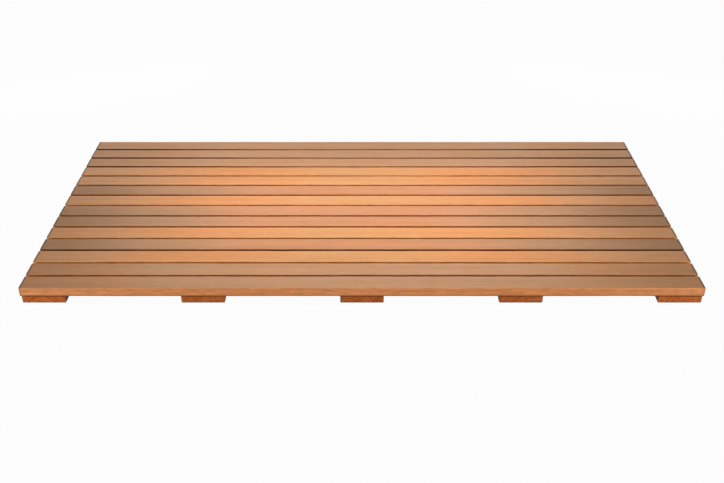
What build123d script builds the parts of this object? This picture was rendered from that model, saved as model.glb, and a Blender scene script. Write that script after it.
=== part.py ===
from build123d import *
import os

# Wooden deck tile: a row of narrow deck slats with open drain gaps, carried on flat cross battens.
# Millimetres. +X runs along the slats, the front edge faces -Y, +Z is up, and the tile stands on Z = 0.

# Deck slats
slat_count = 14
slat_length = 1220.0
slat_width = 38.9
slat_thickness = 18.0
slat_gap = 5.0
slat_edge_radius = 1.5

# Cross battens
batten_count = 5
batten_width = 78.0
batten_thickness = 15.0
batten_edge_radius = 2.0
batten_inset = 2.5
batten_setback = 2.2

# Narrow-crown staples, driven up through the battens into the slats
staple_crown = 6.5
staple_wire_width = 1.25
staple_wire_depth = 1.0
staple_bend_chamfer = 0.5
staple_bite = 10.0
staple_point = 1.5
staple_sink = 0.5

# Places of the pieces, from the sizes above
slat_pitch = slat_width + slat_gap
deck_depth = slat_count * slat_width + (slat_count - 1) * slat_gap
slat_middle_height = batten_thickness + slat_thickness / 2
back_row = (deck_depth - slat_width) / 2
slat_rows = [back_row - index * slat_pitch for index in range(slat_count)]

batten_length = deck_depth - 2 * batten_setback
left_column = -slat_length / 2 + batten_inset + batten_width / 2
batten_pitch = -2 * left_column / (batten_count - 1)
batten_columns = [left_column + index * batten_pitch for index in range(batten_count)]

crown_half = staple_crown / 2
crown_top = staple_sink + staple_wire_width
leg_inside = crown_half - staple_wire_width
leg_top = batten_thickness + staple_bite

os.makedirs("parts", exist_ok=True)


def save(piece, name):
    """Label a finished piece and write it to its own file."""
    piece.part.label = name
    export_step(piece.part, f"parts/{name}.step")


# One staple: the crown lies across the batten's grain, and each leg ends in a slanted chisel point.
with BuildPart() as staple:
    with BuildSketch(Plane.XZ):
        with BuildLine():
            Polyline(
                (0, staple_sink),
                (crown_half - staple_bend_chamfer, staple_sink),
                (crown_half, staple_sink + staple_bend_chamfer),
                (crown_half, leg_top - staple_point),
                (leg_inside, leg_top),
                (leg_inside, crown_top),
                (0, crown_top),
            )
            mirror(about=Plane.YZ)
        make_face()
    extrude(amount=staple_wire_depth / 2, both=True)

# The seat that a driven staple leaves in the wood, open below where the crown went in.
with BuildPart() as staple_seat:
    with BuildSketch(Plane.XZ):
        with BuildLine():
            Polyline(
                (0, -staple_sink),
                (crown_half, -staple_sink),
                (crown_half, leg_top - staple_point),
                (leg_inside, leg_top),
                (leg_inside, crown_top),
                (0, crown_top),
            )
            mirror(about=Plane.YZ)
        make_face()
    extrude(amount=staple_wire_depth / 2, both=True)

# Deck slats, counted from the back edge to the front: eased along the edges and sawn square at both ends.
for number, row in enumerate(slat_rows, start=1):
    with BuildPart() as slat:
        with BuildSketch(Plane.YZ.offset(-slat_length / 2)):
            with Locations((row, slat_middle_height)):
                RectangleRounded(slat_width, slat_thickness, slat_edge_radius)
        extrude(amount=slat_length)
        with Locations(*[(column, row) for column in batten_columns]):
            add(staple_seat.part, mode=Mode.SUBTRACT)
    save(slat, f"slat_{number:02d}")

# Cross battens, counted from the left: each has a staple seat under every slat.
for number, column in enumerate(batten_columns, start=1):
    with BuildPart() as batten:
        with BuildSketch(Plane.XZ.offset(batten_length / 2)):
            with Locations((column, batten_thickness / 2)):
                RectangleRounded(batten_width, batten_thickness, batten_edge_radius)
        extrude(amount=-batten_length)
        with Locations(*[(column, row) for row in slat_rows]):
            add(staple_seat.part, mode=Mode.SUBTRACT)
    save(batten, f"batten_{number}")

# Staples, one group of separate solids for each batten.
for number, column in enumerate(batten_columns, start=1):
    with BuildPart() as staples:
        with Locations(*[(column, row) for row in slat_rows]):
            add(staple.part)
    save(staples, f"staples_{number}")
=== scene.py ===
"""Wooden deck tile: eased cedar slats on flat cross battens, stapled from below, on a studio floor."""

import math
import random

import bmesh
import bpy
from bpy.props import FloatProperty, FloatVectorProperty, PointerProperty
from bpy.types import Operator, Panel, PropertyGroup
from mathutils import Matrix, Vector


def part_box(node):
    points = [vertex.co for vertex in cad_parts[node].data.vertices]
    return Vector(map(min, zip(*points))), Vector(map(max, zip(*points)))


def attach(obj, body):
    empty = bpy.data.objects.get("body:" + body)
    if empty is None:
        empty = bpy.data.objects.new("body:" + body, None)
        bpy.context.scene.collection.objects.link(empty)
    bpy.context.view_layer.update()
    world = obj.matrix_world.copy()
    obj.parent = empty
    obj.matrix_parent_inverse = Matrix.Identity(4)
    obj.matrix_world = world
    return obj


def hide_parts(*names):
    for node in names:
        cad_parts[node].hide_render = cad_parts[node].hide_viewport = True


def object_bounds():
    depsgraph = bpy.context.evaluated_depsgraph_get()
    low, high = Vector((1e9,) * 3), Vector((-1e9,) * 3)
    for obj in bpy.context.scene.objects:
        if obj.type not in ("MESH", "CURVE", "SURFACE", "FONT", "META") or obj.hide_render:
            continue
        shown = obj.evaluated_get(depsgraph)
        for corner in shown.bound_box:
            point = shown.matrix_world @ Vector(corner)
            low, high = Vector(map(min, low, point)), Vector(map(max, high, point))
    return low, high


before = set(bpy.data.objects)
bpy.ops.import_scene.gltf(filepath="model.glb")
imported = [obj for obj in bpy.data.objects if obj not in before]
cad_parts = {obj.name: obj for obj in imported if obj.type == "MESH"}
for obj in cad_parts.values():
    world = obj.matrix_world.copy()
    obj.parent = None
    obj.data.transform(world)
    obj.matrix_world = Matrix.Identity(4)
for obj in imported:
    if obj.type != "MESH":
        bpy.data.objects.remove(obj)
CAD_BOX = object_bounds()

bl_info = {
    "name": "Wooden Deck Tile",
    "version": (1, 0, 0),
    "blender": (4, 5, 0),
    "location": "3D View > Sidebar > Deck Tile",
    "description": "Dresses a slatted wooden deck tile with cedar slats, battens, staples and a stage",
    "category": "Object",
}

# Nodes of the frame, by group. Slats are counted from the back edge, battens from the left.
SLAT_NODES = sorted(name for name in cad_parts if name.startswith("slat_"))
BATTEN_NODES = sorted(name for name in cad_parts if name.startswith("batten_"))
STAPLE_NODES = sorted(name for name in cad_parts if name.startswith("staples_"))
BODY = "root"

# Orange slats and red-brown slats, beside the brown ones, and the slat whose front wall carries painted
# shade all along
HONEY_SLATS = (4, 5, 7, 10, 12)
ROSE_SLATS = (6, 8, 9, 11)
SHADED_WALL_SLAT = 11

# Directions of the frame
ALONG_X = 0
ALONG_Y = 1

# Bevel steps, cuts along a timber, and smoothing
EDGE_STEPS = 5
RIM_STEPS = 3
SLAT_CUTS = 120
BATTEN_CUTS = 30
BEND_STEPS = 4
SMOOTH_ANGLE = math.radians(40)
NORMAL_WEIGHT = 80

# Texture level that leaves a planed face in its place. Nearly all of the texture is lower and runs inwards.
WANDER_LEVEL = 0.9

# A thousandth of a millimetre: two places closer than this are the same
NEAR = 1e-6

# A face whose normal rises more than this looks up
UPWARD = 0.5

# Slats and battens meet at this height
SEAM_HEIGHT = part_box(SLAT_NODES[0])[0].z

# Cedar: grains to the metre, along the timber and in its two other directions
WANDER_GRAIN = (2.2, 14.0, 14.0)
RING_GRAIN = (110.0, 0.0, 0.0)
FIBRE_GRAIN = (9.0, 520.0, 520.0)
PORE_GRAIN = (150.0, 2300.0, 2300.0)
STREAK_GRAIN = (1.3, 75.0, 60.0)
MOTTLE_GRAIN = (38.0, 210.0, 210.0)
DRIFT_GRAIN = (3.0, 11.0, 11.0)
WARMTH_GRAIN = (6.0, 32.0, 32.0)

# Cedar: how far the rings wander, in metres, and how uneven they are, in rings
RING_WANDER = 0.009
RING_UNEVENNESS = 2.5

# Cedar: where late wood comes in and ends within a ring, and how rare pores are
LATE_RISE = (0.35, 0.9)
LATE_FALL = (0.93, 1.0)
PORE_RISE = (0.62, 0.74)

# Cedar: how straight a face must look along X, up, down or along -Y to count as that face
END_FACING = (0.3, 0.8)
UP_FACING = (0.35, 0.85)
EDGE_FACING = (0.76, 0.97)
EDGE_RISE = (0.1, 0.4)
DOWN_FACING = (-0.9, -0.6)
WALL_FACING = (-0.8, -0.3)

# Cedar: zones along a timber, from 0 at its middle to 1 at its end, and how far the drift pushes them out:
# the middle, the painted shade towards the ends, the ends tone (partly weathering, partly painted shade)
# and the painted shade on the walls
ZONE_DRIFT = 0.3
MIDDLE_ZONE = (0.25, 0.55)
END_SHADE_ZONE = (0.8, 1.2)
ENDS_TONE_SPAN = 0.2
WALL_SHADE_SPAN = 0.8
ALL_ALONG = -1.0

# Cedar: a darker band in metres from the sawn end, and painted shade in metres from the seam or the ground,
# both with a ragged edge
END_BAND_ZONE = (0.0005, 0.0045)
SEAM_SHADE_ZONE = (-0.0015, 0.003)
RAGGED = -0.003
FOOT_LIFT = 0.0025
UNDERSIDE_LIFT = 0.01

# Cedar: what each grain and mark does to the shade of the wood
EARLY_WOOD_SHADE = 1.08
LATE_WOOD_SHADE = 0.62
FIBRE_SHADE = 0.3
STREAK_SHADE = 0.3
DRIFT_SHADE = 0.16
MOTTLE_SHADE = 0.25
SIDE_MOTTLE_SHADE = 0.9
PORE_SHADE = -0.16
# Painted highlight on the rounded upper edges
EDGE_HIGHLIGHT = 0.1
# A darker band over the last millimetres before the sawn ends, strongest on faces that look up
END_BAND_SHADE = -0.65
END_BAND_SIDES = 0.3

# Cedar: tints of the painted shade towards the ends and on the walls that face -Y, and the two between
# which the wood's warmth drifts
END_SHADE_TINT = (0.86, 0.76, 0.62)
WALL_SHADE_TINT = (0.2, 0.05, 0.0)
COOL_TINT = (1.0, 1.02, 1.08)
WARM_TINT = (1.02, 0.98, 0.92)

# Cedar: roughness and relief of the surface, and its sheen
FIBRE_ROUGHNESS = (0.5, 0.68)
LATE_ROUGHNESS = -0.06
END_ROUGHNESS = 0.12
UPPER_EDGE_ROUGHNESS = -0.06
LATE_RELIEF = 0.4
PORE_RELIEF = -0.5
BUMP_STRENGTH = 0.35
BUMP_DEPTH = 0.0003
SLAT_SHEEN = 0.25
BATTEN_SHEEN = 0.06

# Slats: the heart of the log beside and below them, their rings, painted shade at the seams, and where the
# ends tone starts, partly weathering and partly painted shade
SLAT_HEART_BESIDE = (0.05, 0.13)
SLAT_HEART_BELOW = (0.02, 0.08)
SLAT_RING_WIDTH = (0.0016, 0.0026)
SLAT_RING_DEPTH = (0.3, 0.45)
SLAT_SEAM_SHADE = -0.75
HONEY_ENDS_TONE_FROM = 0.75
ROSE_ENDS_TONE_FROM = 0.5
TAN_ENDS_TONE_FROM = 0.7

# Slats: painted shade darkens the front walls in the rows at the back, and the ends in the rows after the
# first few
WALL_SHADE_ROWS = 7.5
GAP_WALL_SHADE = 0.95
GAP_WALL_SHADE_FROM = 0.28
WHOLE_WALL_SHADE = 0.65
UNSHADED_END_ROWS = 3
END_SHADE_ROWS = 4
END_SHADE = 0.45

# Battens: the same for their wood, with painted shade on the wall towards the middle of the tile
BATTEN_SEED = 100
BATTEN_HEART_BESIDE = (-0.03, 0.03)
BATTEN_HEART_BELOW = (0.02, 0.05)
BATTEN_RING_WIDTH = (0.003, 0.0046)
BATTEN_RING_DEPTH = 0.7
BATTEN_SEAM_SHADE = -0.6
BATTEN_WALL_SHADE = 0.75

# Wire: scratches to the metre, its roughness and its shade
SCRATCH_GRAIN = (600.0, 4000.0, 600.0)
WIRE_ROUGHNESS = (0.28, 0.45)
WIRE_SHADE = (0.85, 1.0)

# Stage: the floor, and how far in from the tile's outline its shade starts and is full
FLOOR_SIZE = 80.0
SHADE_START = 0.024
SHADE_FULL = 0.038

# Stage: lamps, by their distance from the tile. A low panel stands at a multiple of its corner's X.
SOFTBOX_SIZE = (0.84, 0.55)
SOFTBOX_SPREAD = math.radians(48.8)
SOFTBOX_AHEAD = 0.01
SOFTBOX_HEIGHT = 0.77
PANEL_SIZE = (0.8, 0.2)
FRONT_PANEL_REACH = 1.9
FRONT_PANEL_AHEAD = 0.7
FRONT_PANEL_HEIGHT = 0.11
BACK_PANEL_REACH = 1.3
BACK_PANEL_BEHIND = 0.5
BACK_PANEL_HEIGHT = 0.25
WHITE = (1.0, 1.0, 1.0)
SENSOR_WIDTH = 36.0


class SlatSettings(PropertyGroup):
    """Sizes and wood tones of the deck slats"""

    edge_radius: FloatProperty(
        name="Edge Radius", description="Rounding along the long edges",
        default=0.0015, min=0.0001, max=0.005, unit="LENGTH", subtype="DISTANCE")
    end_easing: FloatProperty(
        name="End Easing", description="Softening of the sawn ends",
        default=0.0012, min=0.0001, max=0.003, unit="LENGTH", subtype="DISTANCE")
    wander: FloatProperty(
        name="Planing Wander", description="How far the planed faces wander inwards along a slat",
        default=0.0006, min=0.0, max=0.003, unit="LENGTH", subtype="DISTANCE")
    wander_span: FloatProperty(
        name="Wander Span", description="Length over which the planed faces wander",
        default=0.055, min=0.01, max=1.0, unit="LENGTH", subtype="DISTANCE")
    # The middle, wood and ends tones shift along each slat partly as wood tone and weathering, partly as a
    # painted pool of light that is brightest in the middle
    honey_middle: FloatVectorProperty(
        name="Honey Middle", description="Paler middle of the orange slats",
        default=(0.69, 0.36, 0.142), size=3, min=0.0, max=1.0, subtype="COLOR")
    honey: FloatVectorProperty(
        name="Honey Wood", description="Deck face of the orange slats",
        default=(0.725, 0.328, 0.118), size=3, min=0.0, max=1.0, subtype="COLOR")
    honey_ends: FloatVectorProperty(
        name="Honey Ends", description="Weathered ends of the orange slats",
        default=(0.72, 0.362, 0.153), size=3, min=0.0, max=1.0, subtype="COLOR")
    honey_sides: FloatVectorProperty(
        name="Honey Sides", description="Unbleached sides of the orange slats",
        default=(0.86, 0.39, 0.115), size=3, min=0.0, max=1.0, subtype="COLOR")
    tan: FloatVectorProperty(
        name="Tan Wood", description="Deck face of the brown slats",
        default=(0.567, 0.322, 0.162), size=3, min=0.0, max=1.0, subtype="COLOR")
    tan_ends: FloatVectorProperty(
        name="Tan Ends", description="Weathered ends of the brown slats",
        default=(0.595, 0.299, 0.126), size=3, min=0.0, max=1.0, subtype="COLOR")
    tan_sides: FloatVectorProperty(
        name="Tan Sides", description="Unbleached sides of the brown slats",
        default=(0.57, 0.217, 0.071), size=3, min=0.0, max=1.0, subtype="COLOR")
    rose_middle: FloatVectorProperty(
        name="Rose Middle", description="Redder middle of the red-brown slats",
        default=(0.588, 0.284, 0.13), size=3, min=0.0, max=1.0, subtype="COLOR")
    rose: FloatVectorProperty(
        name="Rose Wood", description="Deck face of the red-brown slats",
        default=(0.58, 0.291, 0.141), size=3, min=0.0, max=1.0, subtype="COLOR")
    rose_ends: FloatVectorProperty(
        name="Rose Ends", description="Weathered ends of the red-brown slats",
        default=(0.5, 0.28, 0.136), size=3, min=0.0, max=1.0, subtype="COLOR")
    # The red-brown sides are partly painted shade: darkened so that the drain gaps beside those slats look
    # deeper
    rose_sides: FloatVectorProperty(
        name="Rose Sides", description="Unbleached sides of the red-brown slats",
        default=(0.43, 0.145, 0.03), size=3, min=0.0, max=1.0, subtype="COLOR")
    end_tint: FloatVectorProperty(
        name="End Tint", description="Darker tint of the sawn ends",
        default=(0.68, 0.5, 0.35), size=3, min=0.0, max=1.0, subtype="COLOR")


class BattenSettings(PropertyGroup):
    """Sizes and wood tone of the cross battens"""

    edge_radius: FloatProperty(
        name="Edge Radius", description="Rounding along the long edges",
        default=0.002, min=0.0001, max=0.005, unit="LENGTH", subtype="DISTANCE")
    end_easing: FloatProperty(
        name="End Easing", description="Softening of the sawn ends",
        default=0.0005, min=0.0001, max=0.003, unit="LENGTH", subtype="DISTANCE")
    russet: FloatVectorProperty(
        name="Russet Wood", description="Long faces of the battens",
        default=(0.56, 0.215, 0.082), size=3, min=0.0, max=1.0, subtype="COLOR")
    russet_sides: FloatVectorProperty(
        name="Russet Sides", description="Redder sides and underside of the battens",
        default=(0.56, 0.2, 0.075), size=3, min=0.0, max=1.0, subtype="COLOR")
    end_tint: FloatVectorProperty(
        name="End Tint", description="Redder tint of the sawn ends",
        default=(0.8, 0.55, 0.32), size=3, min=0.0, max=1.0, subtype="COLOR")


class StapleSettings(PropertyGroup):
    """Sizes and finish of the staples"""

    wire_width: FloatProperty(
        name="Wire Width", description="Width of the flattened wire, seen across the crown",
        default=0.00125, min=0.0003, max=0.003, unit="LENGTH", subtype="DISTANCE")
    bend_radius: FloatProperty(
        name="Bend Radius", description="Outer rounding where the crown turns into a leg",
        default=0.0007, min=0.0001, max=0.002, unit="LENGTH", subtype="DISTANCE")
    point: FloatProperty(
        name="Chisel Point", description="Slant at the tip of each leg",
        default=0.0015, min=0.0, max=0.005, unit="LENGTH", subtype="DISTANCE")
    wire_colour: FloatVectorProperty(
        name="Wire", description="Bright drawn wire",
        default=(0.6, 0.59, 0.57), size=3, min=0.0, max=1.0, subtype="COLOR")


class StageSettings(PropertyGroup):
    """Floor, lamps and camera"""

    floor_colour: FloatVectorProperty(
        name="Floor", description="Pale studio floor",
        default=(0.86, 0.86, 0.86), size=3, min=0.0, max=1.0, subtype="COLOR")
    floor_glow: FloatProperty(
        name="Floor Glow", description="Share of plain white in the floor that the camera sees",
        default=0.96, min=0.0, max=1.0, subtype="FACTOR")
    fill: FloatProperty(
        name="Fill", description="Even light from all round", default=0.383, min=0.0, max=2.0)
    softbox_power: FloatProperty(
        name="Softbox Power", description="Overhead softbox with a grid, over the middle of the deck",
        default=1.235, min=0.0, max=200.0, unit="POWER")
    softbox_colour: FloatVectorProperty(
        name="Softbox Colour", description="Slightly warm lamp light",
        default=(1.0, 0.835, 0.828), size=3, min=0.0, max=1.0, subtype="COLOR")
    front_power: FloatProperty(
        name="Front Power", description="Each of the two low panels in front of the tile",
        default=6.5, min=0.0, max=200.0, unit="POWER")
    back_power: FloatProperty(
        name="Back Power", description="Each of the two low panels behind the tile",
        default=1.0, min=0.0, max=200.0, unit="POWER")
    camera_back: FloatProperty(
        name="Camera Distance", description="From the front edge to the lens, level",
        default=1.3879, min=0.1, max=10.0, unit="LENGTH", subtype="DISTANCE")
    camera_rise: FloatProperty(
        name="Camera Height", description="From the deck face up to the lens",
        default=0.9328, min=0.0, max=10.0, unit="LENGTH", subtype="DISTANCE")
    camera_pitch: FloatProperty(
        name="Camera Pitch", description="How far the camera looks down",
        default=math.radians(31.076), min=0.0, max=math.radians(90.0), unit="ROTATION", subtype="ANGLE")
    lens: FloatProperty(
        name="Lens", description="Focal length on a 36 mm wide sensor",
        default=46.87, min=10.0, max=300.0, unit="CAMERA")


class DeckTileSettings(PropertyGroup):
    """All settings of the deck tile"""

    slats: PointerProperty(type=SlatSettings)
    battens: PointerProperty(type=BattenSettings)
    staples: PointerProperty(type=StapleSettings)
    stage: PointerProperty(type=StageSettings)


# Modelling helpers

def make_active(piece):
    """Select one piece alone and make it the active one."""
    bpy.ops.object.select_all(action="DESELECT")
    piece.select_set(True)
    bpy.context.view_layer.objects.active = piece


def add_block(name, low, high):
    """Add a cube that fills a box, with its size and place in its mesh."""
    bpy.ops.object.select_all(action="DESELECT")
    bpy.ops.mesh.primitive_cube_add(size=1.0, location=(low + high) / 2, scale=high - low)
    bpy.ops.object.transform_apply(location=True, rotation=True, scale=True)
    block = bpy.context.object
    block.name = name
    block.data.name = name
    return block


def copy_piece(piece, name, shift):
    """Copy a piece with its own mesh and move the copy inside that mesh."""
    make_active(piece)
    bpy.ops.object.duplicate(linked=False)
    copy = bpy.context.object
    bpy.ops.transform.translate(value=shift)
    bpy.ops.object.transform_apply(location=True, rotation=False, scale=False)
    copy.name = name
    copy.data.name = name
    return copy


def select_edges(piece, wanted):
    """In edit mode, select just the edges whose two end points pass a test."""
    bpy.ops.mesh.select_mode(type="EDGE")
    bpy.ops.mesh.select_all(action="DESELECT")
    mesh = bmesh.from_edit_mesh(piece.data)
    for edge in mesh.edges:
        edge.select_set(wanted(edge.verts[0].co, edge.verts[1].co))
    bmesh.update_edit_mesh(piece.data)


def select_faces(piece, wanted):
    """In edit mode, select just the faces whose centre and normal pass a test."""
    bpy.ops.mesh.select_mode(type="FACE")
    bpy.ops.mesh.select_all(action="DESELECT")
    mesh = bmesh.from_edit_mesh(piece.data)
    for face in mesh.faces:
        face.select_set(wanted(face.calc_center_median(), face.normal))
    bmesh.update_edit_mesh(piece.data)


def apply_modifier(piece, kind, **values):
    """Add a modifier to a piece, set its values and apply it."""
    make_active(piece)
    modifier = piece.modifiers.new(kind.title(), kind)
    for name, value in values.items():
        setattr(modifier, name, value)
    bpy.ops.object.modifier_apply(modifier=modifier.name)


def ease_timber(piece, along, edge_radius, end_easing, cuts):
    """Round a timber's long edges, soften its sawn ends and cut it into short lengths."""
    low = min(corner[along] for corner in piece.bound_box)
    high = max(corner[along] for corner in piece.bound_box)
    half_length = (high - low) / 2

    def runs_along(a, b):
        return abs(a[along] - b[along]) > half_length

    def on_rim(a, b):
        return any(abs(a[along] - end) < NEAR and abs(b[along] - end) < NEAR for end in (low, high))

    make_active(piece)
    bpy.ops.object.mode_set(mode="EDIT")
    select_edges(piece, runs_along)
    bpy.ops.mesh.bevel(offset=edge_radius, segments=EDGE_STEPS, affect="EDGES")
    select_edges(piece, on_rim)
    bpy.ops.mesh.bevel(offset=end_easing, segments=RIM_STEPS, affect="EDGES")
    select_edges(piece, runs_along)
    bpy.ops.mesh.subdivide(number_cuts=cuts)
    bpy.ops.object.mode_set(mode="OBJECT")


def finish_shading(piece):
    """Shade a piece smooth over its rounded edges and keep its broad faces flat."""
    make_active(piece)
    bpy.ops.object.shade_smooth_by_angle(angle=SMOOTH_ANGLE)
    apply_modifier(piece, "WEIGHTED_NORMAL", keep_sharp=True, weight=NORMAL_WEIGHT)


def hand_over(piece, node, material):
    """Let a finished piece stand for a node of the frame."""
    piece.data.materials.clear()
    piece.data.materials.append(material)
    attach(piece, BODY)
    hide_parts(node)


# Shader helpers

def plug(tree, socket, value):
    """Link an output to an input, or set a plain value on it."""
    if isinstance(value, bpy.types.NodeSocket):
        tree.links.new(value, socket)
    elif socket.type == "RGBA":
        socket.default_value = (*value[:3], 1.0)
    else:
        socket.default_value = value


def maths(tree, operation, *values):
    """A Math node's result."""
    node = tree.nodes.new("ShaderNodeMath")
    node.operation = operation
    for socket, value in zip(node.inputs, values):
        plug(tree, socket, value)
    return node.outputs["Value"]


def vector_maths(tree, operation, *values):
    """A Vector Math node's result: a number for a length, else a vector."""
    node = tree.nodes.new("ShaderNodeVectorMath")
    node.operation = operation
    for socket, value in zip(node.inputs, values):
        plug(tree, socket, value)
    return node.outputs["Value" if operation == "LENGTH" else "Vector"]


def ramp(tree, value, low, high, to_low=0.0, to_high=1.0, smooth=True):
    """A value mapped from one range to another."""
    node = tree.nodes.new("ShaderNodeMapRange")
    node.interpolation_type = "SMOOTHSTEP" if smooth else "LINEAR"
    for name, setting in (("Value", value), ("From Min", low), ("From Max", high),
                          ("To Min", to_low), ("To Max", to_high)):
        plug(tree, node.inputs[name], setting)
    return node.outputs["Result"]


def noise(tree, place, stretch, detail, roughness=0.5, output="Fac"):
    """Noise whose grains are squeezed by a stretch along each axis."""
    node = tree.nodes.new("ShaderNodeTexNoise")
    plug(tree, node.inputs["Vector"], vector_maths(tree, "MULTIPLY", place, stretch))
    plug(tree, node.inputs["Scale"], 1.0)
    plug(tree, node.inputs["Detail"], detail)
    plug(tree, node.inputs["Roughness"], roughness)
    return node.outputs[output]


def blend(tree, mode, factor, first, second):
    """Two colours mixed."""
    node = tree.nodes.new("ShaderNodeMix")
    node.data_type = "RGBA"
    node.blend_type = mode
    node.clamp_result = False
    plug(tree, node.inputs["Factor"], factor)
    plug(tree, node.inputs[6], first)
    plug(tree, node.inputs[7], second)
    return node.outputs[2]


def split(tree, vector):
    """The X, Y and Z of a vector."""
    node = tree.nodes.new("ShaderNodeSeparateXYZ")
    plug(tree, node.inputs["Vector"], vector)
    return node.outputs["X"], node.outputs["Y"], node.outputs["Z"]


def join(tree, x, y, z):
    """A vector from X, Y and Z."""
    node = tree.nodes.new("ShaderNodeCombineXYZ")
    for socket, value in zip(node.inputs, (x, y, z)):
        plug(tree, socket, value)
    return node.outputs["Vector"]


def cedar_group():
    """Shader group: cedar with growth rings round a heart line that runs along X."""
    name = "cedar_grain"
    if name in bpy.data.node_groups:
        return bpy.data.node_groups[name]
    tree = bpy.data.node_groups.new(name, "ShaderNodeTree")
    for label, kind in (("Place", "Vector"), ("Facing", "Vector"), ("Heart", "Vector"),
                        ("Ring Width", "Float"), ("Ring Depth", "Float"), ("Half Length", "Float"),
                        ("Seam Height", "Float"), ("Seam Shade", "Float"), ("Wall Shade", "Float"),
                        ("Wall Shade From", "Float"), ("Ends Tone From", "Float"), ("End Shade", "Float"),
                        ("Middle", "Color"), ("Wood", "Color"), ("Ends Tone", "Color"),
                        ("Sides", "Color"), ("End Tint", "Color")):
        tree.interface.new_socket(label, in_out="INPUT", socket_type=f"NodeSocket{kind}")
    for label, kind in (("Colour", "Color"), ("Roughness", "Float"), ("Height", "Float")):
        tree.interface.new_socket(label, in_out="OUTPUT", socket_type=f"NodeSocket{kind}")
    given = tree.nodes.new("NodeGroupInput").outputs
    result = tree.nodes.new("NodeGroupOutput").inputs
    place = given["Place"]

    # Growth rings: distance from the heart line, with a slow wander along the grain
    wander = noise(tree, place, WANDER_GRAIN, detail=2.0, output="Color")
    wander = vector_maths(tree, "SUBTRACT", wander, (0.5, 0.5, 0.5))
    wander = vector_maths(tree, "MULTIPLY", wander, (0.0, RING_WANDER, RING_WANDER))
    from_heart = vector_maths(tree, "SUBTRACT", place, given["Heart"])
    from_heart = vector_maths(tree, "ADD", from_heart, wander)
    across = vector_maths(tree, "MULTIPLY", from_heart, (0.0, 1.0, 1.0))
    radius = vector_maths(tree, "LENGTH", across)
    phase = maths(tree, "DIVIDE", radius, given["Ring Width"])
    uneven = noise(tree, join(tree, radius, 0.0, 0.0), RING_GRAIN, detail=1.0)
    phase = maths(tree, "MULTIPLY_ADD", uneven, RING_UNEVENNESS, phase)
    ring = maths(tree, "FRACT", phase)
    late_rise = ramp(tree, ring, *LATE_RISE)
    late_fall = ramp(tree, ring, *LATE_FALL, 1.0, 0.0)
    late = maths(tree, "MULTIPLY", late_rise, late_fall)

    # Fibres, pores, streaks, mottling and slow drifts of tone, all drawn out along the grain
    fibre = noise(tree, place, FIBRE_GRAIN, detail=5.0, roughness=0.7)
    pores = ramp(tree, noise(tree, place, PORE_GRAIN, detail=2.0), *PORE_RISE)
    streak = noise(tree, place, STREAK_GRAIN, detail=3.0, roughness=0.55)
    mottle = noise(tree, place, MOTTLE_GRAIN, detail=3.0, roughness=0.6)
    drift = noise(tree, place, DRIFT_GRAIN, detail=2.0)
    warmth = noise(tree, place, WARMTH_GRAIN, detail=2.0)

    # Faces across the grain are end grain. Faces that look up are bleached, the others keep a fresher tint.
    facing_x, facing_y, facing_z = split(tree, given["Facing"])
    straight = [maths(tree, "ABSOLUTE", part) for part in (facing_x, facing_y, facing_z)]
    end_grain = ramp(tree, straight[0], *END_FACING)
    long_grain = maths(tree, "SUBTRACT", 1.0, end_grain)
    side = ramp(tree, facing_z, *UP_FACING, 1.0, 0.0)
    long_side = maths(tree, "MULTIPLY", side, long_grain)

    # The tone runs from the middle to the ends tone, partly weathering and partly painted shade. Painted
    # shade darkens the ends further, and the last millimetres before the sawn ends are darker still.
    place_x, _, place_z = split(tree, place)
    along = maths(tree, "ABSOLUTE", place_x)
    to_end = maths(tree, "DIVIDE", along, given["Half Length"])
    to_end = maths(tree, "MULTIPLY_ADD", drift, ZONE_DRIFT, to_end)
    past_middle = ramp(tree, to_end, *MIDDLE_ZONE)
    ends_tone_to = maths(tree, "ADD", given["Ends Tone From"], ENDS_TONE_SPAN)
    ends_tone = ramp(tree, to_end, given["Ends Tone From"], ends_tone_to)
    end_shade = maths(tree, "MULTIPLY", ramp(tree, to_end, *END_SHADE_ZONE), given["End Shade"])
    end_shade = maths(tree, "MULTIPLY", end_shade, long_grain)
    from_end = maths(tree, "SUBTRACT", given["Half Length"], along)
    from_end = maths(tree, "MULTIPLY_ADD", fibre, RAGGED, from_end)
    end_band = ramp(tree, from_end, *END_BAND_ZONE, 1.0, 0.0)
    end_band = maths(tree, "MULTIPLY", end_band, long_grain)
    end_band = maths(tree, "MULTIPLY", end_band, ramp(tree, side, 0.0, 1.0, 1.0, END_BAND_SIDES))

    # Rounded upper edges get a painted highlight. Painted shade darkens the wood at and beside the seam of
    # slats and battens, and the foot of a batten, and the wall that faces -Y, from some way along it to its
    # ends.
    squarest = maths(tree, "MAXIMUM", straight[0], maths(tree, "MAXIMUM", straight[1], straight[2]))
    upper_edge = ramp(tree, squarest, *EDGE_FACING, 1.0, 0.0)
    upper_edge = maths(tree, "MULTIPLY", upper_edge, ramp(tree, facing_z, *EDGE_RISE))
    from_seam = maths(tree, "ABSOLUTE", maths(tree, "SUBTRACT", place_z, given["Seam Height"]))
    lift = ramp(tree, facing_z, *DOWN_FACING, UNDERSIDE_LIFT, FOOT_LIFT)
    from_ground = maths(tree, "ADD", place_z, lift)
    from_seam_shade = maths(tree, "MINIMUM", from_seam, from_ground)
    from_seam_shade = maths(tree, "MULTIPLY_ADD", mottle, RAGGED, from_seam_shade)
    seam_shade = ramp(tree, from_seam_shade, *SEAM_SHADE_ZONE, 1.0, 0.0)
    wall_shade_to = maths(tree, "ADD", given["Wall Shade From"], WALL_SHADE_SPAN)
    wall_shade = ramp(tree, to_end, given["Wall Shade From"], wall_shade_to)
    wall_shade = maths(tree, "MULTIPLY", wall_shade, ramp(tree, facing_y, *WALL_FACING, 1.0, 0.0))
    wall_shade = maths(tree, "MULTIPLY", wall_shade, given["Wall Shade"])
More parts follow.
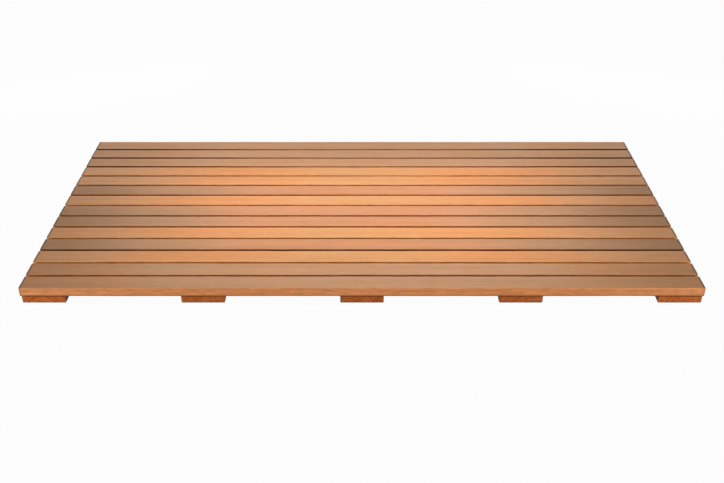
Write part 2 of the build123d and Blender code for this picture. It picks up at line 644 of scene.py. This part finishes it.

    # Shade: rings, twice as deep on end grain, the grains about their middle value, pores, a painted
    # highlight, the end band and painted shade
    ring_depth = maths(tree, "MULTIPLY", given["Ring Depth"], maths(tree, "ADD", end_grain, 1.0))
    late_depth = maths(tree, "MULTIPLY", late, ring_depth)
    shade = ramp(tree, late_depth, 0.0, 1.0, EARLY_WOOD_SHADE, LATE_WOOD_SHADE, smooth=False)
    mottling = maths(tree, "MULTIPLY_ADD", side, SIDE_MOTTLE_SHADE, MOTTLE_SHADE)
    for grain, amount in ((fibre, FIBRE_SHADE), (streak, STREAK_SHADE),
                          (mottle, mottling), (drift, DRIFT_SHADE)):
        centred = maths(tree, "SUBTRACT", grain, 0.5)
        shade = maths(tree, "MULTIPLY", shade, maths(tree, "MULTIPLY_ADD", centred, amount, 1.0))
    for mark, amount in ((pores, PORE_SHADE), (upper_edge, EDGE_HIGHLIGHT),
                         (end_band, END_BAND_SHADE), (seam_shade, given["Seam Shade"])):
        shade = maths(tree, "MULTIPLY", shade, maths(tree, "MULTIPLY_ADD", mark, amount, 1.0))

    # Colour: tones along the timber, painted shade towards the ends, the sides, painted shade on the walls,
    # the sawn ends, then drifts of warmth, then shade
    colour = blend(tree, "MIX", past_middle, given["Middle"], given["Wood"])
    colour = blend(tree, "MIX", ends_tone, colour, given["Ends Tone"])
    colour = blend(tree, "MULTIPLY", end_shade, colour, END_SHADE_TINT)
    colour = blend(tree, "MIX", long_side, colour, given["Sides"])
    colour = blend(tree, "MULTIPLY", wall_shade, colour, WALL_SHADE_TINT)
    colour = blend(tree, "MULTIPLY", end_grain, colour, given["End Tint"])
    tint = blend(tree, "MIX", ramp(tree, warmth, 0.3, 0.7), COOL_TINT, WARM_TINT)
    colour = blend(tree, "MULTIPLY", 1.0, colour, tint)
    scaled = vector_maths(tree, "SCALE", colour)
    plug(tree, scaled.node.inputs["Scale"], shade)
    plug(tree, result["Colour"], scaled)

    # Surface: fibres and pores are rough and sunk, late wood and rounded upper edges are smoother
    rough = ramp(tree, fibre, 0.2, 0.8, *FIBRE_ROUGHNESS, smooth=False)
    for mark, amount in ((late, LATE_ROUGHNESS), (end_grain, END_ROUGHNESS), (upper_edge, UPPER_EDGE_ROUGHNESS)):
        rough = maths(tree, "MULTIPLY_ADD", mark, amount, rough)
    plug(tree, result["Roughness"], rough)
    height = maths(tree, "MULTIPLY_ADD", late, LATE_RELIEF, fibre)
    plug(tree, result["Height"], maths(tree, "MULTIPLY_ADD", pores, PORE_RELIEF, height))
    return tree


def cedar_material(name, timber, sheen, grain_turn=0.0):
    """Cedar for one timber, from its own values, turned by grain_turn until it runs along X."""
    material = bpy.data.materials.new(name)
    material.use_nodes = True
    tree = material.node_tree
    shader = tree.nodes["Principled BSDF"]
    coordinates = tree.nodes.new("ShaderNodeTexCoord")
    turned = []
    for output, kind in (("Object", "POINT"), ("Normal", "NORMAL")):
        mapping = tree.nodes.new("ShaderNodeMapping")
        mapping.vector_type = kind
        plug(tree, mapping.inputs["Rotation"], (0.0, 0.0, grain_turn))
        plug(tree, mapping.inputs["Vector"], coordinates.outputs[output])
        turned.append(mapping.outputs["Vector"])
    grain = tree.nodes.new("ShaderNodeGroup")
    grain.node_tree = cedar_group()
    values = {"Place": turned[0], "Facing": turned[1], "Seam Height": SEAM_HEIGHT, **timber}
    for label, value in values.items():
        plug(tree, grain.inputs[label], value)
    bump = tree.nodes.new("ShaderNodeBump")
    plug(tree, bump.inputs["Strength"], BUMP_STRENGTH)
    plug(tree, bump.inputs["Distance"], BUMP_DEPTH)
    plug(tree, bump.inputs["Height"], grain.outputs["Height"])
    plug(tree, shader.inputs["Base Color"], grain.outputs["Colour"])
    plug(tree, shader.inputs["Roughness"], grain.outputs["Roughness"])
    plug(tree, shader.inputs["Normal"], bump.outputs["Normal"])
    plug(tree, shader.inputs["Specular IOR Level"], sheen)
    return material


def wire_material(name, colour):
    """Bright drawn wire with fine scratches along it."""
    material = bpy.data.materials.new(name)
    material.use_nodes = True
    tree = material.node_tree
    shader = tree.nodes["Principled BSDF"]
    coordinates = tree.nodes.new("ShaderNodeTexCoord")
    scratches = noise(tree, coordinates.outputs["Object"], SCRATCH_GRAIN, detail=3.0)
    plug(tree, shader.inputs["Metallic"], 1.0)
    plug(tree, shader.inputs["Roughness"], ramp(tree, scratches, 0.3, 0.7, *WIRE_ROUGHNESS))
    tint = ramp(tree, scratches, 0.2, 0.8, *WIRE_SHADE)
    shaded = vector_maths(tree, "SCALE", tuple(colour))
    plug(tree, shaded.node.inputs["Scale"], tint)
    plug(tree, shader.inputs["Base Color"], shaded)
    return material


class DECKTILE_OT_slats(Operator):
    """Model one eased slat, copy it to every row and give each its own piece of cedar"""

    bl_idname = "deck_tile.slats"
    bl_label = "Deck Slats"

    def execute(self, context):
        settings = context.scene.deck_tile.slats
        low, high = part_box(SLAT_NODES[0])
        blank = add_block("deck_slat_01", low, high)
        ease_timber(blank, ALONG_X, settings.edge_radius, settings.end_easing, SLAT_CUTS)
        slats = [blank]
        for number, node in enumerate(SLAT_NODES[1:], start=2):
            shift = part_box(node)[0] - low
            slats.append(copy_piece(blank, f"deck_slat_{number:02d}", shift))
        wander = bpy.data.textures.new("planing_wander", "CLOUDS")
        wander.noise_scale = settings.wander_span
        for number, (slat, node) in enumerate(zip(slats, SLAT_NODES), start=1):
            apply_modifier(slat, "DISPLACE", texture=wander, texture_coords="LOCAL", direction="NORMAL",
                           mid_level=WANDER_LEVEL, strength=settings.wander)
            finish_shading(slat)
            hand_over(slat, node, slat_cedar(number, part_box(node), settings))
        return {"FINISHED"}


def slat_cedar(number, box, settings):
    """Cedar for one slat, sawn from its own place in the log."""
    # Painted shade on the front walls, strongest in the rows at the back, and towards the ends after the
    # first few rows
    from_back = (number - 1) / WALL_SHADE_ROWS
    wall_shade = GAP_WALL_SHADE * max(0.0, 1.0 - from_back)
    wall_shade_from = GAP_WALL_SHADE_FROM
    shade_at_ends = END_SHADE * min(1.0, max(0.0, (number - UNSHADED_END_ROWS) / END_SHADE_ROWS))
    if number in HONEY_SLATS:
        tones = {"Middle": settings.honey_middle, "Wood": settings.honey, "Sides": settings.honey_sides,
                 "Ends Tone": settings.honey_ends, "Ends Tone From": HONEY_ENDS_TONE_FROM}
    elif number in ROSE_SLATS:
        tones = {"Middle": settings.rose_middle, "Wood": settings.rose, "Sides": settings.rose_sides,
                 "Ends Tone": settings.rose_ends, "Ends Tone From": ROSE_ENDS_TONE_FROM}
        shade_at_ends = 1.0
    else:
        tones = {"Middle": settings.tan, "Wood": settings.tan, "Sides": settings.tan_sides,
                 "Ends Tone": settings.tan_ends, "Ends Tone From": TAN_ENDS_TONE_FROM}
        wall_shade = max(0.0, 1.0 - from_back ** 2)
    # One slat's front wall carries painted shade all along
    if number == SHADED_WALL_SLAT:
        wall_shade = WHOLE_WALL_SHADE
        wall_shade_from = ALL_ALONG
    chance = random.Random(number)
    middle = (box[0] + box[1]) / 2
    beside = chance.choice((-1, 1)) * chance.uniform(*SLAT_HEART_BESIDE)
    below = chance.uniform(*SLAT_HEART_BELOW)
    return cedar_material(f"cedar_slat_{number:02d}", {
        "Heart": (0.0, middle.y + beside, middle.z - below),
        "Ring Width": chance.uniform(*SLAT_RING_WIDTH),
        "Ring Depth": chance.uniform(*SLAT_RING_DEPTH),
        "Half Length": box[1].x,
        # Painted shade at the seam; the walls and the ends carry the painted shade set above
        "Seam Shade": SLAT_SEAM_SHADE,
        "Wall Shade": wall_shade,
        "Wall Shade From": wall_shade_from,
        "End Shade": shade_at_ends,
        "End Tint": settings.end_tint,
        **tones,
    }, SLAT_SHEEN)


class DECKTILE_OT_battens(Operator):
    """Model one cross batten with its staple seats, and copy it to every column in wood of its own"""

    bl_idname = "deck_tile.battens"
    bl_label = "Cross Battens"

    def execute(self, context):
        settings = context.scene.deck_tile.battens
        low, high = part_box(BATTEN_NODES[0])
        blank = add_block("cross_batten_1", low, high)
        ease_timber(blank, ALONG_Y, settings.edge_radius, settings.end_easing, BATTEN_CUTS)
        self.cut_seats(blank)
        battens = [blank]
        for number, node in enumerate(BATTEN_NODES[1:], start=2):
            battens.append(copy_piece(blank, f"cross_batten_{number}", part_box(node)[0] - low))
        for number, (batten, node) in enumerate(zip(battens, BATTEN_NODES), start=1):
            finish_shading(batten)
            hand_over(batten, node, batten_cedar(number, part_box(node), settings))
        return {"FINISHED"}

    def cut_seats(self, batten):
        """Cut the slot of each staple crown into the underside of a batten."""
        low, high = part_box(STAPLE_NODES[0])
        first = Vector((low.x, low.y, -low.z))
        last = Vector((high.x, low.y + wire_depth(), 2 * low.z))
        cutter = add_block("seat_cutter", first, last)
        apply_modifier(cutter, "ARRAY", count=len(SLAT_NODES), use_relative_offset=False,
                       use_constant_offset=True, constant_offset_displace=(0.0, slat_pitch(), 0.0))
        apply_modifier(batten, "BOOLEAN", object=cutter, operation="DIFFERENCE", solver="EXACT")
        bpy.data.objects.remove(cutter)


def batten_cedar(number, box, settings):
    """Cedar for one batten, turned to run along X with its wall towards the tile's middle facing -Y."""
    chance = random.Random(BATTEN_SEED + number)
    middle = (box[0] + box[1]) / 2
    turn = 1 if middle.x > NEAR else -1
    beside = chance.uniform(*BATTEN_HEART_BESIDE)
    below = chance.uniform(*BATTEN_HEART_BELOW)
    return cedar_material(f"cedar_batten_{number}", {
        "Heart": (0.0, turn * middle.x + beside, middle.z - below),
        "Ring Width": chance.uniform(*BATTEN_RING_WIDTH),
        "Ring Depth": BATTEN_RING_DEPTH,
        "Half Length": box[1].y,
        # Painted shade at the seam and the foot, and on the wall towards the middle of the tile
        "Seam Shade": BATTEN_SEAM_SHADE,
        "Wall Shade": BATTEN_WALL_SHADE,
        "Wall Shade From": ALL_ALONG,
        "Middle": settings.russet,
        "Wood": settings.russet,
        "Ends Tone": settings.russet,
        "Sides": settings.russet_sides,
        "End Tint": settings.end_tint,
    }, BATTEN_SHEEN, grain_turn=turn * math.pi / 2)


def slat_pitch():
    """Distance from one slat to the next."""
    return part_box(SLAT_NODES[0])[0].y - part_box(SLAT_NODES[1])[0].y


def wire_depth():
    """Thickness of the staple wire along the batten, from the length of a whole row of staples."""
    low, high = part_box(STAPLE_NODES[0])
    return high.y - low.y - (len(SLAT_NODES) - 1) * slat_pitch()


class DECKTILE_OT_staples(Operator):
    """Bend one staple from a bar, repeat it under every slat and copy the row to every batten"""

    bl_idname = "deck_tile.staples"
    bl_label = "Staples"

    def execute(self, context):
        settings = context.scene.deck_tile.staples
        low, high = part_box(STAPLE_NODES[0])
        crown_top = low.z + settings.wire_width
        crown = add_block("staple_row_1", low, Vector((high.x, low.y + wire_depth(), crown_top)))
        middle = (low.x + high.x) / 2
        crown_half = high.x - middle
        leg_inside = crown_half - settings.wire_width

        def is_leg_foot(centre, normal):
            return normal.z > UPWARD and abs(centre.x - middle) > leg_inside

        def on_outside(a, b, height):
            return all(abs(abs(point.x - middle) - crown_half) < NEAR and abs(point.z - height) < NEAR
                       for point in (a, b))

        def is_outer_bend(a, b):
            return on_outside(a, b, low.z)

        def is_outer_tip(a, b):
            return on_outside(a, b, high.z)

        make_active(crown)
        bpy.ops.object.mode_set(mode="EDIT")
        for side in (-1, 1):
            bpy.ops.mesh.select_all(action="SELECT")
            cut = (middle + side * leg_inside, 0.0, 0.0)
            bpy.ops.mesh.bisect(plane_co=cut, plane_no=(1.0, 0.0, 0.0))
        select_faces(crown, is_leg_foot)
        leg = (0.0, 0.0, high.z - crown_top)
        bpy.ops.mesh.extrude_region_move(TRANSFORM_OT_translate={"value": leg})
        select_edges(crown, is_outer_tip)
        bpy.ops.transform.translate(value=(0.0, 0.0, -settings.point))
        select_edges(crown, is_outer_bend)
        bpy.ops.mesh.bevel(offset=settings.bend_radius, segments=BEND_STEPS, affect="EDGES")
        bpy.ops.object.mode_set(mode="OBJECT")
        apply_modifier(crown, "ARRAY", count=len(SLAT_NODES), use_relative_offset=False,
                       use_constant_offset=True, constant_offset_displace=(0.0, slat_pitch(), 0.0))
        finish_shading(crown)
        wire = wire_material("drawn_wire", settings.wire_colour)
        rows = [crown]
        for number, node in enumerate(STAPLE_NODES[1:], start=2):
            rows.append(copy_piece(crown, f"staple_row_{number}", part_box(node)[0] - low))
        for row, node in zip(rows, STAPLE_NODES):
            hand_over(row, node, wire)
        return {"FINISHED"}


class DECKTILE_OT_stage(Operator):
    """Lay the floor, hang the lamps and set the camera"""

    bl_idname = "deck_tile.stage"
    bl_label = "Stage"

    def execute(self, context):
        settings = context.scene.deck_tile.stage
        self.lay_floor(settings)
        self.light_surroundings(context, settings)
        self.hang_softbox(settings)
        self.stand_panels(settings)
        self.set_camera(context, settings)
        context.scene.view_settings.view_transform = "Standard"
        return {"FINISHED"}

    def lay_floor(self, settings):
        """One wide pale floor, which isn't part of the tile."""
        bpy.ops.object.select_all(action="DESELECT")
        bpy.ops.mesh.primitive_plane_add(size=FLOOR_SIZE, location=(0.0, 0.0, 0.0))
        floor = bpy.context.object
        floor.name = "studio_floor"
        floor.data.materials.append(floor_material(settings))

    def light_surroundings(self, context, settings):
        """White all round for the eye and for gloss, a plain even fill for everything else."""
        world = bpy.data.worlds.new("studio")
        world.use_nodes = True
        tree = world.node_tree
        tree.nodes.clear()
        fill = tree.nodes.new("ShaderNodeBackground")
        plug(tree, fill.inputs["Color"], WHITE)
        plug(tree, fill.inputs["Strength"], settings.fill)
        white = tree.nodes.new("ShaderNodeBackground")
        plug(tree, white.inputs["Color"], WHITE)
        plug(tree, white.inputs["Strength"], 1.0)
        mix = tree.nodes.new("ShaderNodeMixShader")
        plug(tree, mix.inputs["Fac"], seen_directly(tree))
        plug(tree, mix.inputs[1], fill.outputs["Background"])
        plug(tree, mix.inputs[2], white.outputs["Background"])
        output = tree.nodes.new("ShaderNodeOutputWorld")
        plug(tree, output.inputs["Surface"], mix.outputs["Shader"])
        context.scene.world = world

    def hang_softbox(self, settings):
        """One lamp over the middle of the deck, with a grid that keeps its light narrow."""
        softbox = add_panel("softbox", SOFTBOX_SIZE, settings.softbox_power, settings.softbox_colour)
        softbox.data.spread = SOFTBOX_SPREAD
        softbox.location = (0.0, -SOFTBOX_AHEAD, CAD_BOX[1].z + SOFTBOX_HEIGHT)

    def stand_panels(self, settings):
        """Four low panels, each out beyond a corner of the tile and aimed at it."""
        low, high = CAD_BOX
        for name, x in (("left", low.x), ("right", high.x)):
            front = add_panel(f"front_{name}_panel", PANEL_SIZE, settings.front_power, WHITE)
            front.location = (FRONT_PANEL_REACH * x, low.y - FRONT_PANEL_AHEAD, FRONT_PANEL_HEIGHT)
            aim_lamp(front, Vector((x, low.y, high.z / 2)))
            back = add_panel(f"back_{name}_panel", PANEL_SIZE, settings.back_power, WHITE)
            back.location = (BACK_PANEL_REACH * x, high.y + BACK_PANEL_BEHIND, BACK_PANEL_HEIGHT)
            aim_lamp(back, Vector((x, high.y, high.z / 2)))

    def set_camera(self, context, settings):
        """A camera on the tile's middle line that looks down at it from the front."""
        bpy.ops.object.select_all(action="DESELECT")
        place = (0.0, CAD_BOX[0].y - settings.camera_back, CAD_BOX[1].z + settings.camera_rise)
        turn = (math.pi / 2 - settings.camera_pitch, 0.0, 0.0)
        bpy.ops.object.camera_add(location=place, rotation=turn)
        camera = bpy.context.object
        camera.name = "studio_camera"
        camera.data.sensor_width = SENSOR_WIDTH
        camera.data.lens = settings.lens
        context.scene.camera = camera


def add_panel(name, size, power, colour):
    """A rectangular lamp that faces down and isn't seen itself."""
    bpy.ops.object.select_all(action="DESELECT")
    bpy.ops.object.light_add(type="AREA")
    panel = bpy.context.object
    panel.name = name
    panel.data.shape = "RECTANGLE"
    panel.data.size = size[0]
    panel.data.size_y = size[1]
    panel.data.energy = power
    panel.data.color = colour
    panel.visible_camera = False
    return panel


def aim_lamp(panel, target):
    """Turn a lamp to face a point."""
    panel.rotation_euler = (target - panel.location).to_track_quat("-Z", "Y").to_euler()


def seen_directly(tree):
    """1 for what the camera sees, also in gloss or through something clear, else 0."""
    path = tree.nodes.new("ShaderNodeLightPath").outputs
    seen = maths(tree, "MAXIMUM", path["Is Camera Ray"], path["Is Glossy Ray"])
    return maths(tree, "MAXIMUM", seen, path["Is Transmission Ray"])


def floor_material(settings):
    """A pale matt floor that looks white but keeps the tile's shade under it, and is clear from below."""
    material = bpy.data.materials.new("pale_floor")
    material.use_nodes = True
    tree = material.node_tree
    tree.nodes.clear()
    matt = tree.nodes.new("ShaderNodeBsdfDiffuse")
    plug(tree, matt.inputs["Color"], settings.floor_colour)
    glow = tree.nodes.new("ShaderNodeEmission")
    plug(tree, glow.inputs["Color"], WHITE)
    plug(tree, glow.inputs["Strength"], 1.0)
    x, y, _ = split(tree, tree.nodes.new("ShaderNodeTexCoord").outputs["Object"])
    past_end = maths(tree, "SUBTRACT", maths(tree, "ABSOLUTE", x), CAD_BOX[1].x)
    past_edge = maths(tree, "SUBTRACT", maths(tree, "ABSOLUTE", y), CAD_BOX[1].y)
    past_tile = maths(tree, "MAXIMUM", past_end, past_edge)
    in_the_open = ramp(tree, past_tile, -SHADE_FULL, -SHADE_START)
    white_share = maths(tree, "MULTIPLY", in_the_open, settings.floor_glow)
    lit = tree.nodes.new("ShaderNodeMixShader")
    plug(tree, lit.inputs["Fac"], maths(tree, "MULTIPLY", seen_directly(tree), white_share))
    plug(tree, lit.inputs[1], matt.outputs["BSDF"])
    plug(tree, lit.inputs[2], glow.outputs["Emission"])
    clear = tree.nodes.new("ShaderNodeBsdfTransparent")
    under = tree.nodes.new("ShaderNodeMixShader")
    plug(tree, under.inputs["Fac"], tree.nodes.new("ShaderNodeNewGeometry").outputs["Backfacing"])
    plug(tree, under.inputs[1], lit.outputs["Shader"])
    plug(tree, under.inputs[2], clear.outputs["BSDF"])
    output = tree.nodes.new("ShaderNodeOutputMaterial")
    plug(tree, output.inputs["Surface"], under.outputs["Shader"])
    return material


class DECKTILE_PT_panel(Panel):
    """Deck tile tools in the sidebar"""

    bl_idname = "DECKTILE_PT_panel"
    bl_label = "Deck Tile"
    bl_space_type = "VIEW_3D"
    bl_region_type = "UI"
    bl_category = "Deck Tile"

    def draw(self, context):
        settings = context.scene.deck_tile
        for operator, group in ((DECKTILE_OT_slats, settings.slats),
                                (DECKTILE_OT_battens, settings.battens),
                                (DECKTILE_OT_staples, settings.staples),
                                (DECKTILE_OT_stage, settings.stage)):
            box = self.layout.box()
            box.operator(operator.bl_idname)
            for name in group.__annotations__:
                box.prop(group, name)


CLASSES = (SlatSettings, BattenSettings, StapleSettings, StageSettings, DeckTileSettings,
           DECKTILE_OT_slats, DECKTILE_OT_battens, DECKTILE_OT_staples, DECKTILE_OT_stage,
           DECKTILE_PT_panel)


def register():
    for item in CLASSES:
        bpy.utils.register_class(item)
    bpy.types.Scene.deck_tile = PointerProperty(type=DeckTileSettings)


def unregister():
    del bpy.types.Scene.deck_tile
    for item in reversed(CLASSES):
        bpy.utils.unregister_class(item)


def main():
    register()
    bpy.ops.deck_tile.slats()
    bpy.ops.deck_tile.battens()
    bpy.ops.deck_tile.staples()
    bpy.ops.deck_tile.stage()


if __name__ == "__main__":
    main()
